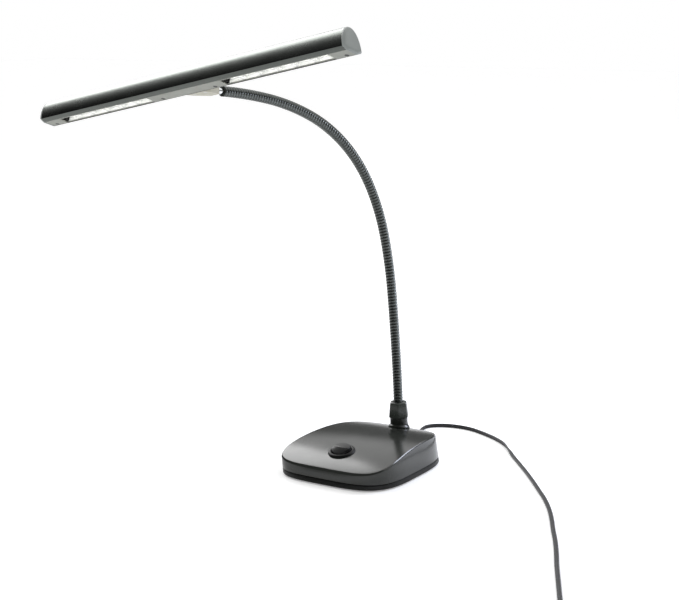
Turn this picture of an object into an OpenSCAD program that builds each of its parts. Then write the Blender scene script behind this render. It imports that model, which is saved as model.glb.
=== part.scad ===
// Piano lamp: a weighted base, a gooseneck and a long bar head with two rows of six LEDs.
// Millimetres, +Z up, +X to the right along the front of the base, -Y towards the player.
// The origin is on the table, under the middle of the base.

/* [Base] */
// Width of the base across its middle
base_w = 107; // [98:1:116]
// Depth of the base from front to back
base_d = 132; // [124:1:140]
// Height of the top edge at the front
front_h = 13; // [12:0.5:16]
// Height of the top edge at the back
back_h = 21.5; // [20:0.5:24]
// Extra rise of the top edge half way back
top_rise = 8.7; // [7:0.1:10]
// Rise of the top surface above its edge
crown = 1.2; // [0.6:0.1:2]
// How much narrower the back is than the middle, as a share
base_taper = 0.10; // [0:0.01:0.14]
// Lean of the wall at the front, measured at the top edge
front_draft = 1.9; // [1:0.1:3]
// Lean of the wall at the back, measured at the top edge
back_draft = 4; // [2:0.1:5]
// Wall of the moulded housing
wall = 2.2; // [1.8:0.1:2.6]
// Height of the bottom tray
tray_h = 4.4; // [4:0.1:5.5]
// Floor of the bottom tray
tray_floor = 2; // [1.6:0.1:2.6]
// Height of the ballast block
ballast_h = 16; // [10:1:17]
// Width of the ballast block
ballast_w = 58; // [40:1:60]
// Depth of the ballast block
ballast_d = 56; // [40:1:58]
// Distance of the non-slip pad from the edge of the tray
pad_in = 7; // [6:0.5:9]
// How far the non-slip pad stands below the tray
pad_proud = 1; // [0.6:0.1:1.6]

/* [Switch] */
// Diameter of the switch bezel
bezel_dia = 23; // [22:0.5:25]
// Diameter of the hole for the switch barrel
switch_hole = 20; // [19.6:0.1:20.6]
// Height of the bezel above the housing
bezel_h = 2; // [1.8:0.1:2.6]
// Distance of the switch from the front edge of the base
switch_edge = 29.6; // [28:0.1:32]
// Diameter of the round rocker
rocker_dia = 17; // [16:0.1:17.2]
// Angle through which the rocker tips
rocker_tip = 18; // [12:1:20]

/* [Neck] */
// Outer diameter of the gooseneck
neck_dia = 8.2; // [7:0.1:8.6]
// Depth of the groove between two ribs
rib_depth = 0.6; // [0.3:0.05:0.7]
// Ribs on one section of the neck
ribs = 18; // [12:1:20]
// Length of one section of the neck
section_len = 48.7; // [40:0.1:55]
// Bend of each section of the neck, from the base up, in degrees
neck_bends = [1.9, 1.7, 7.6, 15, 19.1, 17.3, 11.7, 6.6];
// Lean of the collar and of the foot of the neck
neck_lean = 3.5; // [0:0.5:5]
// Turn of the plane in which the neck is bent
neck_turn = 9.8; // [0:0.1:12]
// Largest bend that a joint of the neck adds or takes away
neck_flex = 22; // [10:1:22]
// Distance of the neck from the back edge of the base
neck_edge = 13.4; // [13:0.1:15]
// Height of the collar nut above the housing
collar_h = 23.4; // [22:0.1:26]
// Width across the flats of the collar nut at its foot
collar_flats = 16.8; // [15.5:0.1:18]

/* [Head] */
// Length of the extruded bar, measured along its underside
bar_len = 341; // [320:1:360]
// Width of the bar
bar_w = 17.6; // [17:0.1:19]
// Height of the bar
bar_h = 19.2; // [17:0.1:20]
// Wall of the extrusion
bar_wall = 1.3; // [1.1:0.1:1.5]
// Width of the flat underside between the two bevelled lips
cover_w = 10; // [9.8:0.1:10.6]
// Height of the bevelled lips
lip_h = 2; // [1.6:0.1:2.2]
// Lean of the end cut on the right, inwards
lean_right = 18; // [0:1:20]
// Lean of the end cut on the left, outwards
lean_left = 8; // [0:1:10]
// Thickness of an end cap
cap_t = 3.2; // [2.4:0.1:3.6]
// Tilt of the bar's underside against the end of the neck
head_tilt = 14.7; // [10:0.1:18]
// Turn of the bar about the end of the neck
head_twist = 1; // [0:0.1:3]
// Distance from the end of the neck to the middle of the bar's underside
head_reach = 36.5; // [35:0.1:38]
// Distance of the bar's underside below the axis of the neck
head_drop = 2.8; // [2.6:0.1:3.2]
// Inner end of each window, from the middle of the bar
window_in = 41.5; // [40:0.5:46]
// Outer end of each window, from the end of the bar
window_end = 18.3; // [17.5:0.1:22]
// Width of each window
window_w = 8; // [7:0.1:8.2]
// LEDs behind each window
leds = 6; // [4:1:7]

/* [Lead] */
// Width of the flat twin lead
lead_w = 3.6; // [3.2:0.1:3.8]
// Thickness of the flat twin lead
lead_t = 1.8; // [1.6:0.1:1.9]
// Radius of the outer turn of the stored coil
coil_r = 26; // [25:0.5:28]
// Length of the plug-in power supply
adapter_len = 58; // [50:1:64]
// Width of the plug-in power supply
adapter_w = 38; // [34:1:42]
// Height of the plug-in power supply
adapter_h = 26; // [24:1:30]

/* [Hidden] */
$fn = 48;
// general clearances
fit = 0.1;            // between pieces that are fixed together
loose = 0.3;          // between pieces that must not touch
screw_fit = 0.05;     // round a screw

// base outline
around = 64;          // points round the base
foot_fullness = 3.6;  // exponent of the outline at the table
edge_front = 4.95;    // exponent of the front half of the outline at the top edge
edge_back = 3.9;      // exponent of its back half
half_w = base_w/2;
half_d = base_d/2;
floor_z = pad_proud;              // underside of the tray
seam_z = floor_z + tray_h;        // parting line between the tray and the housing
top_steps = [0.985, 0.95, 0.86, 0.7, 0.48, 0.24];
screw_spots = [[half_w - 13.5, -28], [half_w - 17.5, 30]];
pad_let = 0.8;                    // how deep the pad is let into the tray
boss_dia = 8;
base_screw_dia = 3;
base_screw_head = 6;
base_screw_len = 12;
tray_edge = 0.8;                  // bevel round the foot of the tray
ballast_front = -17;
ballast_corner = 8;
ballast_back = ballast_front + ballast_d;

function pow_sign(v, e) = sign(v)*pow(abs(v), e);
function outline(t, n) = [
    half_w*pow_sign(cos(t), 2/n)*(1 - base_taper*pow_sign(sin(t), 2/n)),
    half_d*pow_sign(sin(t), 2/n)];
function edge_fullness(t) = sin(t) > 0 ? edge_back : edge_front;
// height of the top edge above the tray's underside, for a distance y from the middle
function share(y) = (y/half_d + 1)/2;
function edge_h(y) = front_h + (back_h - front_h)*share(y) + top_rise*4*share(y)*(1 - share(y));
function draft(y) = front_draft + (back_draft - front_draft)*share(y);
function edge_xy(t) = let (p = outline(t, edge_fullness(t)), k = draft(p.y))
    [p.x*(1 - k/half_w), p.y*(1 - k/half_d)];
function edge_point(t) = let (p = outline(t, edge_fullness(t)), q = edge_xy(t))
    [q.x, q.y, edge_h(p.y)];
function foot_point(t) = let (p = outline(t, foot_fullness)) [p.x, p.y, 0];
// a point on the wall, at height z above the tray's underside
function wall_point(t, z, inset = 0) =
    let (a = foot_point(t), b = edge_point(t), p = a + (b - a)*z/b.z)
    [p.x*(1 - inset/half_w), p.y*(1 - inset/half_d), floor_z + z];
// a point on the top surface, at share s of the way out from the middle, moved in by t_in
function top_point(t, s, drop = 0, inset = 0) =
    let (q = edge_xy(t)*s)
    [q.x*(1 - inset/half_w), q.y*(1 - inset/half_d),
     floor_z + edge_h(q.y) + crown*(1 - s*s) - drop];
function top_z(y) = floor_z + edge_h(y) + crown*(1 - pow(y/half_d, 2));
function top_slope(y) = atan((top_z(y + 0.5) - top_z(y - 0.5)));
angles = [for (i = [0:around - 1]) 360*(i + 0.5)/around];
function wall_ring(z, inset = 0) = [for (t = angles) wall_point(t, z, inset)];
function top_ring(s, drop = 0, inset = 0) = [for (t = angles) top_point(t, s, drop, inset)];
// the top of the wall, a little below the edge
function rim_ring(below, drop = 0, inset = 0) = [for (t = angles)
    let (p = wall_point(t, edge_point(t).z - below, inset)) [p.x, p.y, p.z - drop]];

// switch
switch_y = switch_edge - half_d;
switch_tilt = top_slope(switch_y);
seat_depth = 0.4;                 // how deep the flat seats are let into the top
barrel_r = switch_hole/2 - 0.2;
blade_len = 5.4;
barrel_h = top_z(switch_y) - seat_depth - floor_z - tray_floor - blade_len - 1;
bezel_hole = rocker_dia/2 + loose;
pivot_z = bezel_h - 1.3;          // rocker axis above the seat
pin_r = 0.9;
pin_out = barrel_r - 0.1;          // half the length of the rocker's pivot pins
ridge_h = 4.1;                    // ridge of the rocker above its axis
blade_w = 4.8;
blade_t = 0.8;

// neck seat, bush and nipple; heights are measured along the collar from the seat
neck_side = 0.7;
neck_y = half_d - neck_edge;
neck_tilt = top_slope(neck_y);
neck_seat_z = top_z(neck_y);
bush_r = 7.7;
skirt_r = 9.4;
skirt_h = 3.8;
skirt_rim = 1.6;
collar_foot = 9.7;                // foot of the collar nut above the housing
collar_taper = 2.8;               // how much narrower the nut is at its top
collar_corner = -52;              // where one corner of the nut points
nipple_r = 4.95;
nipple_bore = 2.6;
nipple_top = 13;
boss_drop = 6.2;                  // flat boss under the roof, below the seat
washer_r = 6.8;
washer_t = 1;
inner_nut_flats = 12;
inner_nut_h = 5;
nipple_foot = -boss_drop - washer_t - inner_nut_h - 1.5;
collar_axis = [-sin(neck_turn)*sin(neck_lean), -cos(neck_turn)*sin(neck_lean), cos(neck_lean)];

// gooseneck
sides = 8;
neck_start = collar_h + 1.6;      // where the neck starts to bend
crest_r = neck_dia/2 + 0.05;
groove_r = crest_r - rib_depth;
bore_r = 1.2;
joint_gap = 1.6;                  // groove left between two sections
ball_r = 2.6;
ball_fit = 0.15;
ball_top = 2.1;
cup_r = (ball_r + ball_fit)/cos(180/sides);
cup_top = 2.75;
bore_rings = 5;
sections = len(neck_bends);
stub_len = neck_start - nipple_top - 0.4;

// head
cap_bevel = 1.5;
plug_len = 9;
window_len = bar_len/2 - window_end - window_in;
arch_r = bar_w/2;
arch_h = bar_h - lip_h;
arch_steps = 24;
cover_t = 1.75;
window_t = 1;                     // what is left of the cover round a window
cover_lip = 0.85;
screw_out = bar_len/2 - 6.65;     // outer screws, from the middle
screw_in = 29.65;                 // inner screws, from the middle
screw_back = 2.8;                 // the four screws sit towards the back of the cover
head_screw_r = 1.1;
head_screw_head = 1.65;
head_screw_len = 6;
board_z = cover_t + cover_lip + 5;
board_t = 1.2;
strip_h = board_z - cover_t - cover_lip;
led_size = 5;
led_h = 0.9;
tube_r = 2.5;
tube_bore = 1.5;
tube_in = 7;                      // how far the tube goes into the bracket
bracket_from = 7;
bracket_low = -2;
bracket_top = 4;
bracket_cover_t = 1.2;
tongue = [12, 3.6];
tongue_low = 0;
rail_in = 4.4;
block_len = 2*screw_in + 11;
block_w = cover_w + 0.6;
plug_hole = 6.4;                  // half the width of the notch for a cap's plug
bracket_screw_x = 5.9;
bracket_screw_z = 22.5;
bracket_screw_r = 0.8;

// lead: the route along the table, chosen by hand, as [x, y] from the gland to the coil
gland_x = -12;
gland_z = seam_z + lead_w/2 + 2.4;
gland_len = 16;
back_y = half_d - 2;
lead_route = [[-12, 84], [-13, 96], [-17, 110], [-22, 124], [-26, 136], [-27, 146], [-22, 154], [-12, 160],
    [0, 162], [14, 160], [30, 153], [46, 144], [62, 132], [76, 117], [88, 102], [102, 86], [121, 64],
    [140, 41], [155, 22], [170, 3], [186, -20], [200, -43], [213, -66], [227, -90], [240, -114],
    [252, -137], [264, -159], [276, -181], [288, -203], [299, -224], [308, -241]];
coil_turn = 208;                  // where the lead joins the coil, as an angle
coil_at = [338, -242];
coil_pitch = lead_t + 0.6;
coil_layer = lead_w + 0.6;
coil_lift = 0.7;                  // the tie under the coil lifts it
coil_turns = 4;                   // turns of each layer
loop_rings = 24;
tie_w = 4;
tie_t = 0.6;
adapter_at = [376, -306];
adapter_turn = -46;
pin_len = 19;
pin_gap = 19;

// ---------- general ----------

// a closed solid through a list of rings with the same number of points each
module skin(rings) {
    n = len(rings[0]);
    m = len(rings);
    middle = function (r) [for (k = [0:2]) [for (p = r) p[k]]*[for (p = r) 1]/n];
    points = concat([for (r = rings) each r], [middle(rings[0]), middle(rings[m - 1])]);
    faces = concat(
        [for (j = [0:m - 2], i = [0:n - 1]) let (k = (i + 1)%n)
            each [[j*n + i, (j + 1)*n + i, (j + 1)*n + k], [j*n + i, (j + 1)*n + k, j*n + k]]],
        [for (i = [0:n - 1]) [m*n, i, (i + 1)%n]],
        [for (i = [0:n - 1]) [m*n + 1, (m - 1)*n + (i + 1)%n, (m - 1)*n + i]]);
    polyhedron(points, faces);
}

// a closed solid whose last ring joins its first again, so that it has a hole along it
module loop_skin(rings) {
    n = len(rings[0]);
    m = len(rings);
    faces = [for (j = [0:m - 1], i = [0:n - 1]) let (k = (i + 1)%n, l = (j + 1)%m)
        each [[j*n + i, l*n + i, l*n + k], [j*n + i, l*n + k, j*n + k]]];
    polyhedron([for (r = rings) each r], faces);
}

module both_sides() {
    children();
    mirror([1, 0, 0]) children();
}

// ---------- base ----------

module base_housing() {
    inner_drop = wall;
    color("#3a3c3a") difference() {
        union() {
            skin(concat(
                [top_ring(0.24, inner_drop, wall)],
                [for (s = [0.48, 0.7, 0.86, 0.95]) top_ring(s, inner_drop, wall)],
                [rim_ring(0.8, inner_drop, wall), wall_ring(tray_h, wall), wall_ring(tray_h)],
                [rim_ring(1.2), rim_ring(0.35, 0, 0.1)],
                [for (s = top_steps) top_ring(s)]));
            for (p = screw_spots) both_sides() screw_boss(p);
            at_collar() translate([0, 0, -boss_drop]) cylinder(r = washer_r + 1, h = boss_drop + 2);
        }
        at_switch() {
            translate([0, 0, -seat_depth]) cylinder(d = bezel_dia + 2*fit, h = 6);
            translate([0, 0, -10]) cylinder(d = switch_hole, h = 20);
        }
        at_neck_seat() translate([0, 0, -seat_depth]) cylinder(r = skirt_r + fit, h = 6);
        at_collar() translate([0, 0, -20]) cylinder(r = nipple_r + fit, h = 30);
        translate([gland_x, back_y - 12, gland_z]) rotate([-90, 0, 0]) cylinder(d = lead_w + 4.2, h = 30);
    }
}

// a boss for a base screw, from the seam up into the roof
module screw_boss(p) {
    top = top_z(p.y) - wall;
    translate([p.x, p.y, seam_z + loose]) difference() {
        cylinder(d = boss_dia, h = top - seam_z - loose);
        translate([0, 0, -1]) cylinder(d = base_screw_dia + 2*screw_fit, h = base_screw_len);
    }
}

module base_plate() {
    floor_in = wall;
    color("#2c2d2c") difference() {
        union() {
            skin([wall_ring(0, tray_edge), wall_ring(tray_edge), wall_ring(tray_h),
                wall_ring(tray_h, floor_in), wall_ring(tray_floor, floor_in)]);
            for (p = screw_spots) both_sides()
                translate([p.x, p.y, floor_z + 0.5]) cylinder(d = boss_dia + 1, h = tray_h - 0.5);
        }
        for (p = screw_spots) both_sides() translate([p.x, p.y, 0]) {
            cylinder(d = base_screw_head + 0.4, h = floor_z + 2);
            cylinder(d = base_screw_dia + 4*screw_fit, h = 20);
        }
        translate([0, 0, floor_z - 1]) linear_extrude(1 + pad_let) pad_outline(pad_in - fit);
    }
}

module ballast_weight() {
    color("#6d6f70") difference() {
        translate([-ballast_w/2, ballast_front, floor_z + tray_floor]) cube([ballast_w, ballast_d, ballast_h]);
        for (x = [-1, 1]) translate([x*ballast_w/2, ballast_front, 0]) rotate([0, 0, 45])
            cube([ballast_corner, ballast_corner, 4*ballast_h], center = true);
    }
}

module pad_outline(inset) polygon([for (t = angles) let (p = foot_point(t))
    [p.x*(1 - inset/half_w), p.y*(1 - inset/half_d)]]);

// non-slip pad under the tray, with holes for the screws
module base_pad() {
    color("#1d1d1d") difference() {
        linear_extrude(pad_proud + pad_let) pad_outline(pad_in);
        for (p = screw_spots) both_sides()
            translate([p.x, p.y, -1]) cylinder(d = base_screw_head + 1.6, h = 6);
    }
}

module base_screws() {
    color("#b9bcbd") for (p = screw_spots) both_sides() translate([p.x, p.y, floor_z + 0.2]) {
        difference() {
            cylinder(d = base_screw_head, h = 1.8);
            translate([0, 0, -0.5]) cube([4, 0.8, 2], center = true);
            translate([0, 0, -0.5]) cube([0.8, 4, 2], center = true);
        }
        translate([0, 0, 1.8]) cylinder(d = base_screw_dia, h = base_screw_len - 1.8);
    }
}

// ---------- switch ----------

// the seat of the switch: z is the slanted normal of the top surface there
module at_switch() translate([0, switch_y, top_z(switch_y)]) rotate([switch_tilt, 0, 0]) children();

module switch_body() {
    wing = 0.9;
    color("#161616") at_switch() translate([0, 0, -seat_depth]) difference() {
        union() {
            rotate_extrude($fn = 64) polygon([[0, -barrel_h], [barrel_r, -barrel_h], [barrel_r, 0],
                [bezel_dia/2, 0], [bezel_dia/2, bezel_h*0.45], [bezel_dia/2 - 0.5, bezel_h*0.8],
                [bezel_dia/2 - 1.2, bezel_h], [0, bezel_h]]);
            both_sides() translate([barrel_r - 0.3, -2.5, -9]) cube([wing + 0.3, 5, 5.6]);
        }
        translate([0, 0, -barrel_h + 2]) cylinder(r = bezel_hole, h = 30);
        translate([-bezel_hole - 1.6, 0, pivot_z]) rotate([0, 90, 0])
            cylinder(r = pin_r + screw_fit, h = 2*bezel_hole + 3.2);
    }
}

// the round rocker, tipped to the front; its ridge runs from side to side
module switch_rocker() {
    r = rocker_dia/2;
    front_fall = (r - 0.4)*tan(rocker_tip);
    color("#0e0e0e") at_switch() translate([0, 0, pivot_z - seat_depth]) {
        intersection() {
            sphere(r = r, $fn = 64);
            translate([-r, 0, 0]) rotate([90, 0, 90]) linear_extrude(2*r)
                polygon([[-0.4, ridge_h], [-r, ridge_h - front_fall], [-r, -3], [-5, -5.5], [5, -5.5],
                    [r, -1], [r, ridge_h]]);
        }
        translate([-pin_out, 0, 0]) rotate([0, 90, 0]) cylinder(r = pin_r, h = 2*pin_out);
    }
}

module switch_terminals() {
    color("#c9b27a") at_switch() translate([0, 0, -seat_depth - barrel_h - blade_len])
        for (y = [-4.5, 3.5]) translate([-blade_w/2, y, 0]) difference() {
            cube([blade_w, blade_t, blade_len]);
            translate([blade_w/2, -1, 1.6]) rotate([-90, 0, 0]) cylinder(r = 0.8, h = 3);
        }
}

// the wires in the base: from the gland to the switch, and from both to the nipple
module inner_wires() {
    side = ballast_w/2 + 1.5;
    low = floor_z + tray_floor + 1.3;
    near = ballast_front;
    mouth = [gland_x, back_y - 6.3, gland_z];
    nip = [neck_side, neck_y, neck_seat_z] + nipple_foot*collar_axis;
    ends = [0, switch_y, floor_z + tray_floor];
    up = 12*collar_axis;
    color("#7a2b22") {
        wire([mouth + [-1, 0, 0], mouth + [-5, -4, -2], [-side, ballast_back, low], [-side, 10, low],
            [-side, near + 5, low], [2 - side, near - 2, low], ends + [-12, 3, 1.3], ends + [-4, -2.2, 1.7],
            ends + [1.6, -2.2, 1.7]]);
        wire([ends + [-1.6, 8.9, 3.6], ends + [4, 8.9, 3.6], ends + [14, 10, 2], [side - 2, near - 2, low],
            [side, near + 5, low], [side, 10, low], [side, ballast_back, low], [14, ballast_back + 9, low + 1],
            nip + [5, 0, -4], nip + [1.3, 0, -1], nip + [1.3, 0, 0] + up]);
        wire([mouth + [1, 0, 0], mouth + [3, -3, -1.2], nip + [-4, 1, -3], nip + [-1.3, 0, -1],
            nip + [-1.3, 0, 0] + up]);
    }
}

module wire(p, r = 0.8) skin([for (i = [0:len(p) - 1]) let (d = heading(p, i),
    side = unit(cross(d, [0.13, 0.21, 1])), up = cross(side, d))
    [for (k = [0:7]) p[i] + r*cos(45*k)*side + r*sin(45*k)*up]]);

// ---------- collar ----------

// the seat of the bush: z is the slanted normal of the top surface there
module at_neck_seat() translate([neck_side, neck_y, neck_seat_z]) rotate([neck_tilt, 0, 0]) children();
// the collar leans forwards with the foot of the neck
module at_collar() translate([neck_side, neck_y, neck_seat_z])
    rotate([0, 0, -neck_turn]) rotate([neck_lean, 0, 0]) children();

// skirted bush that levels the sloping top under the collar nut
module collar_bush() {
    color("#1f201f") difference() {
        union() {
            at_neck_seat() translate([0, 0, -seat_depth]) {
                cylinder(r = skirt_r, h = skirt_rim);
                translate([0, 0, skirt_rim]) cylinder(r1 = skirt_r, r2 = bush_r, h = skirt_h - skirt_rim);
            }
            at_collar() translate([0, 0, -4]) cylinder(r = bush_r, h = collar_foot - fit + 4);
        }
        at_neck_seat() translate([0, 0, -seat_depth - 10]) cylinder(r = 30, h = 10);
        at_collar() translate([0, 0, -20]) cylinder(r = nipple_r + fit, h = 60);
    }
}

module threaded_nipple() {
    color("#8d8f90") at_collar() translate([0, 0, nipple_foot]) difference() {
        cylinder(r = nipple_r, h = nipple_top - nipple_foot);
        translate([0, 0, -1]) cylinder(r = nipple_bore, h = 60);
    }
}

module nipple_washer() {
    color("#a7a9aa") at_collar() translate([0, 0, -boss_drop - washer_t]) difference() {
        cylinder(r = washer_r, h = washer_t);
        translate([0, 0, -1]) cylinder(r = nipple_r + fit, h = 4);
    }
}

module nipple_nut() {
    color("#a7a9aa") at_collar() translate([0, 0, -boss_drop - washer_t - inner_nut_h]) difference() {
        cylinder(d = inner_nut_flats/cos(30), h = inner_nut_h, $fn = 6);
        translate([0, 0, -1]) cylinder(r = nipple_r + screw_fit, h = 10);
    }
}

// tapered hexagon nut that holds the neck; one corner points to the front right
module collar_nut() {
    h = collar_h - collar_foot;
    foot_r = collar_flats/cos(30)/2;
    top_r = (collar_flats - collar_taper)/cos(30)/2;
    color("#1b1d1c") at_collar() translate([0, 0, collar_foot]) difference() {
        intersection() {
            rotate([0, 0, collar_corner]) cylinder(r1 = foot_r, r2 = top_r, h = h, $fn = 6);
            translate([0, 0, -0.01]) cylinder(r1 = top_r + h - 0.4, r2 = top_r - 0.4, h = h + 0.02);
        }
        translate([0, 0, -1]) cylinder(r = nipple_r + screw_fit, h = 1 + nipple_top - collar_foot);
        translate([0, 0, -1]) cylinder(d = neck_dia + 4*fit, h = 40);
    }
}

// ---------- gooseneck ----------

// a point of a section's centre line, bent towards -Y
function arc_point(s, bend) = let (r = section_len*180/(PI*bend), a = bend*s/section_len)
    [0, -r*(1 - cos(a)), r*sin(a)];
// a ring round the centre line at s, moved off along it
function neck_ring(s, bend, r, off = 0) = let (a = bend*s/section_len, c = arc_point(s, bend))
    [for (k = [0:sides - 1]) let (t = 360*(k + 0.5)/sides, y = r*sin(t))
        c + [r*cos(t), y*cos(a) - off*sin(a), y*sin(a) + off*cos(a)]];
function on_ball(off, r) = sqrt(r*r - off*off);
// a ring of the plain foot, straight below the start of the neck
function stub_ring(r, down) = [for (p = neck_ring(0, neck_bends[0], r)) p - [0, 0, down]];

// frame at the foot of section i, counted from 0
module at_section(i) {
    if (i == 0)
        at_collar() translate([0, 0, neck_start]) children();
    else
        at_section(i - 1) translate(arc_point(section_len, neck_bends[i - 1]))
            rotate([neck_bends[i - 1], 0, 0]) children();
}

// a ribbed section with its bore; a hollow ball at its top turns in the cup of the next one
module neck_section(i) {
    bend = neck_bends[i];
    first = i == 0;
    last = i == sections - 1;
    from = first ? 0 : joint_gap/2;
    to = section_len - (last ? 0 : joint_gap/2);
    pitch = (to - from)/ribs;
    foot = first
        ? [stub_ring(bore_r, stub_len), stub_ring(neck_dia/2 - fit, stub_len), stub_ring(neck_dia/2 - fit, 1)]
        : [neck_ring(0, bend, bore_r, cup_top + 0.6), neck_ring(0, bend, on_ball(2.6, cup_r), cup_top),
            neck_ring(0, bend, on_ball(1.9, cup_r), 1.9), neck_ring(0, bend, on_ball(0.8, cup_r), joint_gap/2)];
    outside = [for (j = [0:ribs - 1]) each [neck_ring(from + j*pitch, bend, groove_r),
        neck_ring(from + (j + 0.5)*pitch, bend, crest_r)]];
    top = last
        ? [neck_ring(to, bend, groove_r), neck_ring(to, bend, bore_r)]
        : [neck_ring(to, bend, groove_r),
            neck_ring(section_len, bend, on_ball(joint_gap/2, ball_r), -joint_gap/2),
            neck_ring(section_len, bend, on_ball(0.5, ball_r), 0.5),
            neck_ring(section_len, bend, on_ball(1.5, ball_r), 1.5),
            neck_ring(section_len, bend, on_ball(ball_top, ball_r), ball_top),
            neck_ring(section_len, bend, bore_r, ball_top)];
    bore = [for (j = [bore_rings:-1:1]) neck_ring(section_len*j/(bore_rings + 1), bend, bore_r)];
    color("#4a4c4c") at_section(i) loop_skin(concat(foot, outside, top, bore));
}

// ---------- head ----------

// frame at the end of the neck: z runs on along the neck, y is up, x runs along the bar
module at_neck_end()
    at_section(sections - 1) translate(arc_point(section_len, neck_bends[sections - 1]))
        rotate([neck_bends[sections - 1], 0, 0]) rotate([0, 0, neck_turn + head_twist]) children();

// frame of the bar: x along it, y to the back, z up, origin in the middle of its underside
module at_bar() at_neck_end() translate([0, -head_drop, head_reach])
    rotate([-(90 + head_tilt), 0, 0]) children();

// polished tube between the neck and the bracket
module end_tube() {
    color("#d9dcdd") at_neck_end() difference() {
        cylinder(r = tube_r, h = bracket_from + tube_in);
        translate([0, 0, -1]) cylinder(r = tube_bore, h = 30);
    }
}

// plan of the bracket, from the tube to the bar
module bracket_plan(grow = 0) {
    back = head_reach - 5;
    wide = bracket_from + 13;
    polygon([[-4.6 - grow, bracket_from], [4.6 + grow, bracket_from], [6 + grow, bracket_from + 3],
        [9.2 + grow, wide], [9.4 + grow, back], [-9.4 - grow, back], [-9.2 - grow, wide],
        [-6 - grow, bracket_from + 3]]);
}

// bracket that carries the bar: its front end follows the back of the extrusion
module neck_bracket() {
    color("#8f8c80") at_neck_end() difference() {
        union() {
            translate([0, bracket_top, 0]) rotate([90, 0, 0]) linear_extrude(bracket_top - bracket_low)
                bracket_plan();
            translate([-tongue.x/2, tongue_low, 18]) cube([tongue.x, tongue.y, head_reach - 19]);
        }
        difference() {
            in_neck_frame() bar_space();
            translate([-tongue.x/2, tongue_low, 10]) cube([tongue.x, tongue.y, 60]);
        }
        translate([0, 0, bracket_from - 1]) cylinder(r = tube_r + screw_fit, h = tube_in + 2);
        translate([0, 0, bracket_from]) cylinder(r = tube_bore, h = 40);
        for (x = [-1, 1]) translate([x*bracket_screw_x, bracket_low - 1, bracket_screw_z])
            rotate([-90, 0, 0]) cylinder(r = bracket_screw_r + screw_fit, h = 5.6);
    }
}

// the bar frame as seen from the neck's end
module in_neck_frame() translate([0, -head_drop, head_reach]) rotate([-(90 + head_tilt), 0, 0]) children();

// all that lies inside the outer surface of the extrusion, and below its underside
module bar_space(grow = fit) {
    translate([-bar_len, 0, 0]) rotate([90, 0, 90]) linear_extrude(2*bar_len) bar_outline(grow);
    translate([-bar_len, -bar_w, -20]) cube([2*bar_len, bar_w + cover_w/2 + grow, 21]);
}

// cover screwed under the bracket
module bracket_cover() {
    low = bracket_low - fit/2 - bracket_cover_t;
    color("#b7b29c") at_neck_end() difference() {
        translate([0, low + bracket_cover_t, 0]) rotate([90, 0, 0]) linear_extrude(bracket_cover_t)
            bracket_plan(0.2);
        in_neck_frame() bar_space(0.2);
        translate([0, 0, bracket_from - 1]) cylinder(r = tube_r + fit, h = tube_in + 2);
        for (x = [-1, 1]) translate([x*bracket_screw_x, low, bracket_screw_z]) rotate([-90, 0, 0]) {
            translate([0, 0, -1]) cylinder(r = bracket_screw_r + 2*screw_fit, h = 8);
            translate([0, 0, -1]) cylinder(r = 1.6, h = 1.6);
        }
    }
}

module bracket_screws() {
    color("#55544c") at_neck_end() for (x = [-1, 1])
        translate([x*bracket_screw_x, bracket_low - fit/2 - bracket_cover_t, bracket_screw_z])
            rotate([-90, 0, 0]) {
                cylinder(r = 1.5, h = 0.6);
                cylinder(r = bracket_screw_r, h = 5);
            }
}

// section of the bar: bevelled lips below, an arch above
function arch(r, h, foot) = [for (i = [0:arch_steps]) let (t = 180*i/arch_steps) [r*cos(t), foot + h*sin(t)]];
module bar_outline(grow = 0)
    polygon(concat(arch(arch_r + grow, arch_h + grow, lip_h),
        [[-cover_w/2 - grow, -grow], [cover_w/2 + grow, -grow]]));

module bar_hollow() {
    lip_in = bar_wall*1.05;
    polygon(concat(arch(arch_r - bar_wall, arch_h - bar_wall - lip_in, lip_h + lip_in),
        [[-cover_w/2 - 0.2, lip_in], [-cover_w/2, -1], [cover_w/2, -1], [cover_w/2 + 0.2, lip_in]]));
}

// two rails inside the extrusion that hold the boards down
module board_rails() both_sides()
    translate([rail_in, board_z + board_t + 0.02]) square([arch_r - bar_wall + 0.4 - rail_in, 1]);

// the lean of an end cut, inwards
function lean(side) = side > 0 ? lean_right : -lean_left;
// the frame of an end cut, moved out by more: x points out of the bar, square to the cut
module at_end(side, more = 0) mirror([side < 0 ? 1 : 0, 0, 0])
    translate([bar_len/2 + more/cos(lean(side)), 0, 0]) rotate([0, -lean(side), 0]) children();

// cuts whatever runs along the bar with the two end cuts
module between_ends(more = 0) {
    difference() {
        children();
        for (side = [-1, 1]) at_end(side, more) translate([0, -bar_w, -bar_h])
            cube([bar_w*4, bar_w*2, bar_h*4]);
    }
}

module head_shell() {
    color("#2a2c2b") at_bar() difference() {
        between_ends() translate([-bar_len/2 - 5, 0, 0]) rotate([90, 0, 90]) linear_extrude(bar_len + 10)
            union() {
                difference() {
                    bar_outline();
                    bar_hollow();
                }
                intersection() {
                    bar_outline();
                    board_rails();
                }
            }
        from_neck_end() translate([-tongue.x/2 - 0.15, tongue_low - 0.15, 15])
            cube([tongue.x + 0.3, tongue.y + 0.3, 16]);
        for (x = [-1, 1]) translate([x*(bar_len/2 - 4) - 12, -plug_hole, board_z + board_t])
            cube([24, 2*plug_hole, 1.4]);
    }
}

// the neck's end frame as seen from the bar
module from_neck_end() rotate([90 + head_tilt, 0, 0]) translate([0, head_drop, -head_reach]) children();

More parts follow.
